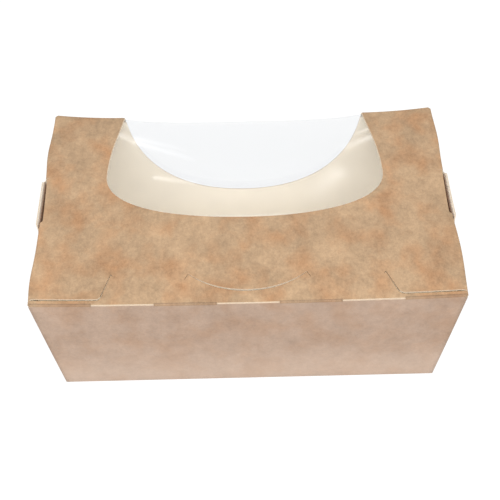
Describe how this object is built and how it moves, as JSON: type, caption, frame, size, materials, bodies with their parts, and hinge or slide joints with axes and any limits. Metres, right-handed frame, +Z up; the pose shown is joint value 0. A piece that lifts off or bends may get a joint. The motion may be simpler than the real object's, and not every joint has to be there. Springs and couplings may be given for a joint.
{
  "type": "salad box",
  "caption": "Shallow tapered kraft board food box with a hinged lid, slits beside the hinge and a clear film window that wraps over the front edge.",
  "frame": {"origin": "middle of the footprint on the surface the box stands on", "axes": "+Z up, +X along the hinge and the long side, +Y from the hinge at the back to the window front"},
  "size_m": [0.1834, 0.124, 0.0606],
  "materials": {
    "kraft_board": "uncoated kraft board, cream inside",
    "kraft_lid": "uncoated kraft board, cream inside",
    "clear_film": "clear glossy film"
  },
  "bodies": {
    "tray": {"tray": "kraft_board"},
    "lid": {"lid": "kraft_lid", "window_film": "clear_film"}
  },
  "joints": [
    {"name": "lid_hinge", "type": "hinge", "parent": "tray", "child": "lid", "pos_m": [0, -0.062, 0.06], "axis": [1, 0, 0], "range_deg": [0, 180]}
  ]
}
